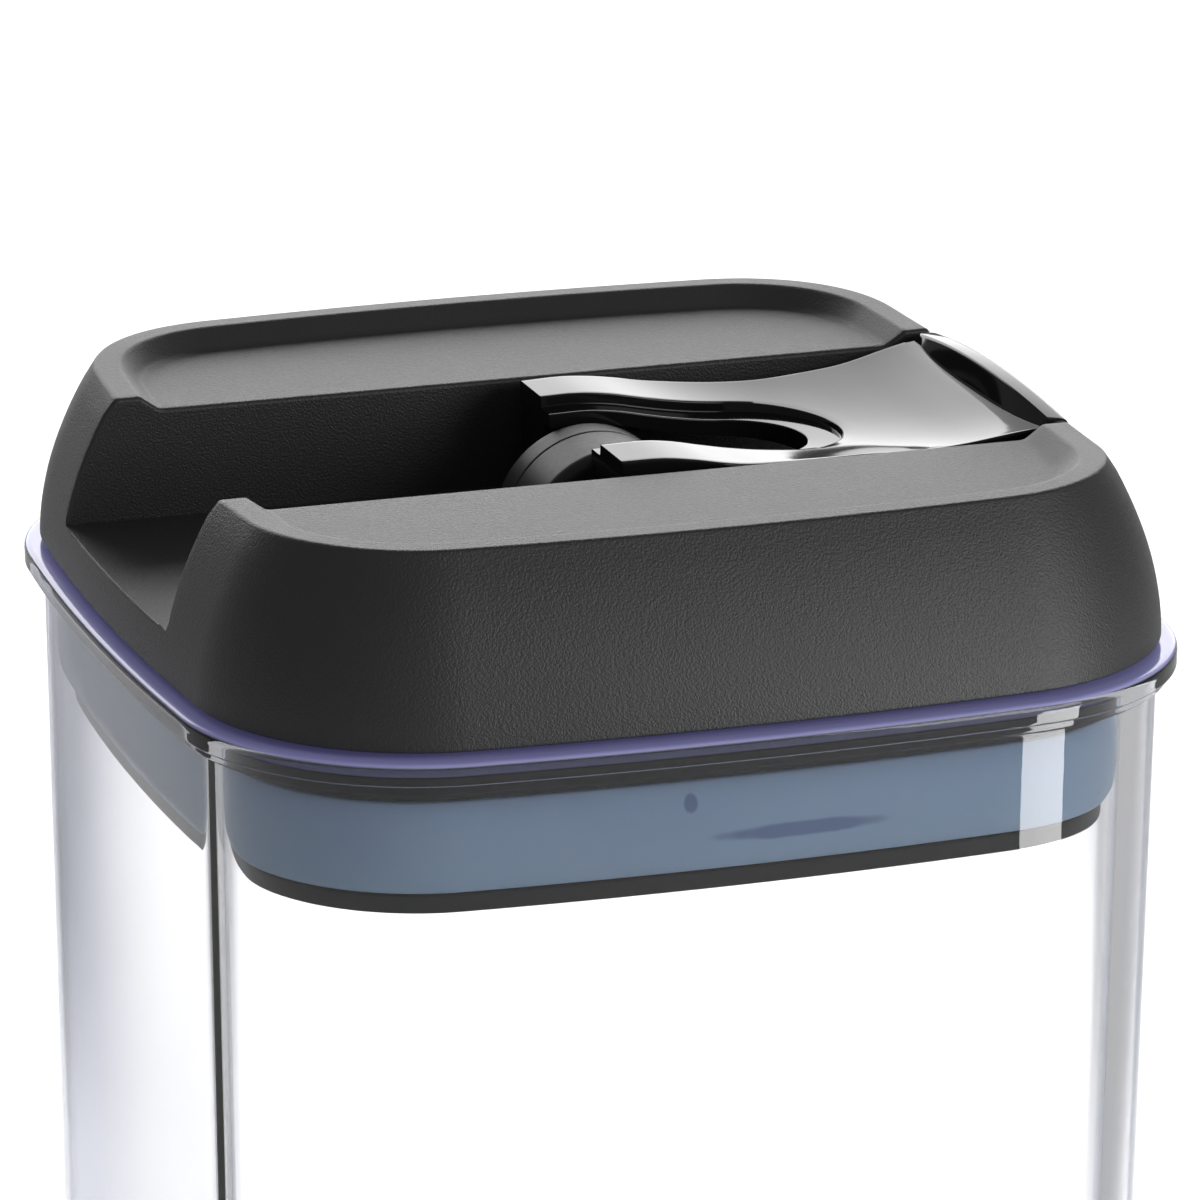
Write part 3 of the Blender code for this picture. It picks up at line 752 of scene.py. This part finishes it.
# lever
leverSizes = {
    "tip": -2.1,
    "foot": 44.55,
    "footHeight": 18.1,
    "cornerRise": 0.6,
    "cornerReach": 0.75,
    "half": 19.0,
    "thick": 2.6,
    "pinReach": 16.2,  # the pin's hole stops here, inside each tine
    "slotHalf": 7.0,
    "slotEnd": 24.8,
    "ledgeHalf": 9.8,
    "ledgeEnd": 28.7,
    "ledgeDepth": (0.7, 1.25),
    "rows": 56,
    "cornerRow": 16,
    "arcRow": 30,
    "columns": 16,
}
# distance along X: half width, height of the edge, depth of the dish
leverLine = (
    (-2.1, 17.2, 18.6, 0.0),
    (2.5, 17.5, 18.65, 0.0),
    (6.0, 17.9, 18.3, 0.05),
    (9.0, 18.2, 17.8, 0.2),
    (12.0, 18.0, 17.35, 0.4),
    (16.0, 17.2, 17.0, 0.8),
    (21.0, 16.4, 16.75, 1.15),
    (26.0, 16.1, 16.7, 1.35),
    (31.0, 16.9, 16.8, 1.35),
    (36.0, 17.5, 17.15, 1.1),
    (41.0, 18.4, 17.7, 0.5),
    (44.55, 19.0, 18.1, 0.0),
)


def along(x):
    # half width, edge height and dish depth at x, on a smooth curve through the list
    line = leverLine
    x = min(max(x, line[0][0]), line[-1][0])
    index = max(i for i in range(len(line) - 1) if x >= line[i][0])
    picked = [line[max(0, min(len(line) - 1, index + step))] for step in (-1, 0, 1, 2)]
    span = picked[2][0] - picked[1][0]
    t = (x - picked[1][0]) / span
    values = []
    for item in (1, 2, 3):
        before, first, second, after = (point[item] for point in picked)
        slopeIn = (second - before) / max(picked[2][0] - picked[0][0], 0.01) * span
        slopeOut = (after - first) / max(picked[3][0] - picked[1][0], 0.01) * span
        values.append(
            (2 * t**3 - 3 * t**2 + 1) * first
            + (t**3 - 2 * t**2 + t) * slopeIn
            + (3 * t**2 - 2 * t**3) * second
            + (t**3 - t**2) * slopeOut
        )
    return values


def sweptUp(y):
    # The top sweeps up into the lip towards its two corners.
    return min(1.0, abs(y) / leverSizes["half"]) ** 3


def leverTop(flat):
    half, edge, dish = along(flat.x)
    rise = leverSizes["cornerRise"] * sweptUp(flat.y) * eased((flat.x - 34) / (leverSizes["foot"] - 34))
    return edge - dish * (1 - min(1.0, abs(flat.y) / half) ** 2) + rise


def roundEnded(share, half, end):
    # along a stadium outline, from its end at 0 to the lever's tip at 1
    centre = end - half
    corner = leverSizes["arcRow"] / leverSizes["rows"]
    if share <= corner:
        turn = math.pi / 2 * share / corner
        return Vector((centre + half * math.cos(turn), half * math.sin(turn)))
    return Vector((centre + (leverSizes["tip"] - centre) * (share - corner) / (1 - corner), half))


def outerLine(share):
    size = leverSizes
    corner = size["cornerRow"] / size["rows"]
    if share <= corner:
        return Vector((size["foot"] + 1.1, size["half"] * share / corner))
    x = size["foot"] + 1.1 + (size["tip"] - size["foot"] - 1.1) * (share - corner) / (1 - corner)
    return Vector((x, along(x)[0]))


def leverSection(share):
    # One closed slice, from the slot's wall over the top to the outer edge and back underneath.
    size = leverSizes
    slot = roundEnded(share, size["slotHalf"], size["slotEnd"])
    ledge = roundEnded(share, size["ledgeHalf"], size["ledgeEnd"])
    outer = outerLine(share)
    shallow, deep = size["ledgeDepth"]
    drop = shallow + (deep - shallow) * eased(share * 1.3)
    out = (ledge - slot).normalized()
    side = (outer - ledge).normalized()
    points = []

    def put(flat, down):
        points.append(Vector((flat.x, flat.y, leverTop(flat) - down)))

    put(slot, size["thick"] + 0.3)
    put(slot, drop + 0.25)
    put(slot + out * 0.07, drop + 0.07)
    put(slot + out * 0.25, drop)
    put(ledge - out * 0.3, drop)
    put(ledge - out * 0.08, drop - 0.06)
    put(ledge, drop - 0.25)
    put(ledge + out * 0.05, 0.2)
    put(ledge + out * 0.12, 0.06)
    inner, rim = ledge + out * 0.3, outer - side * 0.6
    for column in range(size["columns"] + 1):
        put(inner.lerp(rim, column / size["columns"]), 0)
    put(outer - side * 0.3, 0.04)
    put(outer - side * 0.09, 0.13)
    put(outer, 0.35)
    put(outer, size["thick"] - 0.3)
    put(outer - side * 0.3, size["thick"])
    for step in range(1, 6):
        put(outer.lerp(slot, step / 6), size["thick"])
    put(slot + out * 0.3, size["thick"] + 0.3)
    return points


def tubeOf(slices):
    # A grid bent round into a tube of closed slices, then capped.
    bm = bmesh.new()
    rows, columns = len(slices), len(slices[0])
    grid = bmesh.ops.create_grid(bm, x_segments=columns, y_segments=rows - 1, size=1.0)["verts"]
    for vert in grid:
        column = round((vert.co.x + 1) / 2 * columns) % columns
        row = round((vert.co.y + 1) / 2 * (rows - 1))
        vert.co = slices[row][column]
    bmesh.ops.remove_doubles(bm, verts=bm.verts, dist=0.0005)
    bmesh.ops.holes_fill(bm, edges=bm.edges[:], sides=0)
    bmesh.ops.recalc_face_normals(bm, faces=bm.faces)
    return bm


def leverBody():
    rows = leverSizes["rows"]
    slices = []
    for row in range(-rows, rows + 1):
        points = leverSection(abs(row) / rows)
        slices.append([Vector((p.x, math.copysign(p.y, row) if row else 0, p.z)) for p in points])
    return tubeOf(slices)


lipSizes = {"width": 2.1, "crown": 20.9, "fall": 1.45, "hem": 12.0, "skirt": 2.6, "rows": 40}


def lipSection(y):
    size = lipSizes
    foot = leverSizes["foot"] + leverSizes["cornerReach"] * sweptUp(y)
    base = leverSizes["footHeight"] + leverSizes["cornerRise"] * sweptUp(y)
    top = size["crown"] - size["fall"] * (y / leverSizes["half"]) ** 2
    inner = outlineX(coverHalf(top) - size["width"], y)

    def outer(height, inset=0.0):
        return Vector((outlineX(coverHalf(height) - inset, y), y, height))

    points = [
        Vector((foot - 0.6, y, 15.6)),
        Vector((foot - 0.6, y, 17.4)),
        Vector((foot, y, base + 0.02)),
        Vector((foot + 0.12, y, base + (top - base) * 0.08)),
        Vector((inner - 0.06, y, top - 0.3)),
        Vector((inner + 0.05, y, top - 0.1)),
        Vector((inner + 0.25, y, top)),
        outer(top, 0.5),
        outer(top - 0.06, 0.2),
        outer(top - 0.25, 0.03),
        outer(top - 0.6),
    ]
    points += [outer(size["hem"] + 0.3 + (top - 1.2 - size["hem"]) * (1 - step / 5)) for step in range(6)]
    points += [outer(size["hem"], 0.3), outer(size["hem"], size["skirt"] - 0.3)]
    points += [outer(size["hem"] + 0.3, size["skirt"]), outer(14.5, size["skirt"] + 0.4)]
    return points


def leverLip():
    rows, half = lipSizes["rows"], leverSizes["half"]
    bm = tubeOf([lipSection(half * (2 * row / rows - 1)) for row in range(rows + 1)])
    edges = [e for e in bm.edges if all(abs(abs(v.co.y) - half) < 0.01 for v in e.verts)]
    rounded(bm, edges, 0.3, 3)
    return bm


camSizes = {"reach": 5.9, "lift": 2.5, "inner": 8.5, "outer": 16.6, "top": 4.35, "steps": 20}


def cam(side):
    # Its distance to the channel's floor falls evenly over a quarter turn.
    size = camSizes
    rate = size["lift"] / (math.pi / 2)
    bm = bmesh.new()
    ends = sorted((side * size["inner"], side * size["outer"]))
    corners = []
    for step in range(size["steps"], -1, -1):
        a = math.pi / 2 * step / size["steps"]
        left = size["reach"] - rate * a
        corners.append((rate * math.cos(a) - left * math.sin(a), -rate * math.sin(a) - left * math.cos(a)))
    for step in range(1, size["steps"] + 1):
        a = math.pi / 2 * step / size["steps"]
        corners.append((rate + size["reach"] * math.sin(a), -size["reach"] * math.cos(a)))
    corners += [(corners[-1][0], size["top"]), (corners[0][0], size["top"])]
    face = bm.faces.new(
        [bm.verts.new((postSizes["x"] + x, ends[0], axle["height"] + z)) for x, z in corners]
    )
    grown = bmesh.ops.extrude_face_region(bm, geom=[face])["geom"]
    bmesh.ops.translate(bm, vec=(0, ends[1] - ends[0], 0), verts=vertsIn(grown))
    return bm


def makeLever():
    bm = combined(leverBody(), "UNION", leverLip(), cam(-1), cam(1))
    bm = combined(bm, "DIFFERENCE", axleHole(leverSizes["pinReach"]))
    makePiece("flip_lever", bm, "gloss", "lever", "lever", sharp=40)


makeLever()

# small parts that keep their own shape
for name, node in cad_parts.items():
    if "screw" in name or name == "axle_pin":
        node.data.materials.clear()
        node.data.materials.append(looks["steel"])
print("steel given to the screws and the pin")

# studio
studio = {
    "azimuth": -19.1,
    "elevation": 17.16,
    "roll": 0.267,
    "distance": 0.75917,
    "lens": 209.36,
    "shift": (0.00996, -0.01404),
    "world": 0.20,
}
# name: place, target, width, height, power, spread in degrees, turn about its own axis
panels = {
    "sweep": ((0.105, 0.30, 0.7), (0.105, 0.30, 0), 0.27, 0.42, 0.38, 9, 19.1),
    "farSweep": ((0.30, 0.86, 0.7), (0.30, 0.86, 0), 0.46, 0.78, 1.2, 9, 19.1),
    "back": ((0.45, 1.9, 0.8), (0, 0, 0.2), 2.4, 1.2, 28, 180, 0),
    "front": ((1.0, -1.3, 0.55), (0, 0, 0.12), 0.8, 0.9, 10, 180, 0),
    "strip": ((0.179, -0.218, 0.045), (0.032, -0.0545, 0.045), 0.079, 0.086, 0.1, 110, 0),
}


def makeCamera():
    turn, rise = math.radians(studio["azimuth"]), math.radians(studio["elevation"])
    back = Vector((math.sin(turn) * math.cos(rise), -math.cos(turn) * math.cos(rise), math.sin(rise)))
    right = Vector((math.cos(turn), math.sin(turn), 0))
    level = Matrix((right, back.cross(right), back)).transposed()
    data = bpy.data.cameras.new("camera")
    data.lens = studio["lens"]
    data.shift_x, data.shift_y = studio["shift"]
    camera = bpy.data.objects.new("camera", data)
    spun = (level @ Matrix.Rotation(math.radians(studio["roll"]), 3, "Z")).to_4x4()
    camera.matrix_world = Matrix.Translation(Vector((0, 0, rimTop)) + back * studio["distance"]) @ spun
    bpy.context.scene.collection.objects.link(camera)
    bpy.context.scene.camera = camera


def makeLights():
    for name, (place, target, width, height, power, spread, turn) in panels.items():
        data = bpy.data.lights.new(name, "AREA")
        data.shape = "RECTANGLE"
        data.size, data.size_y, data.energy = width, height, power
        data.spread = math.radians(spread)
        light = bpy.data.objects.new(name, data)
        light.location = place
        aim = (Vector(target) - Vector(place)).to_track_quat("-Z", "Y").to_matrix()
        light.rotation_euler = (aim @ Matrix.Rotation(math.radians(-turn), 3, "Z")).to_euler()
        light.visible_camera = light.visible_transmission = False  # only its light and its reflections show
        bpy.context.scene.collection.objects.link(light)
    world = bpy.data.worlds.new("studio")
    world.use_nodes = True
    sky = world.node_tree.nodes["Background"]
    sky.inputs["Color"].default_value = (1, 1, 1, 1)
    sky.inputs["Strength"].default_value = studio["world"]
    bpy.context.scene.world = world


def makeFloor():
    look = Look("pale_floor", Roughness=0.9)
    look.set("Base Color", look.blend(look.noise(0.3, 2), grey(0.9), grey(0.92)))
    bm = bmesh.new()
    bmesh.ops.create_grid(bm, x_segments=8, y_segments=8, size=6.0)
    floor = asObject(bm, "floor")
    floor.data.materials.append(look.material)


makeCamera()
makeLights()
makeFloor()
print("studio set with", len(panels), "lamps")
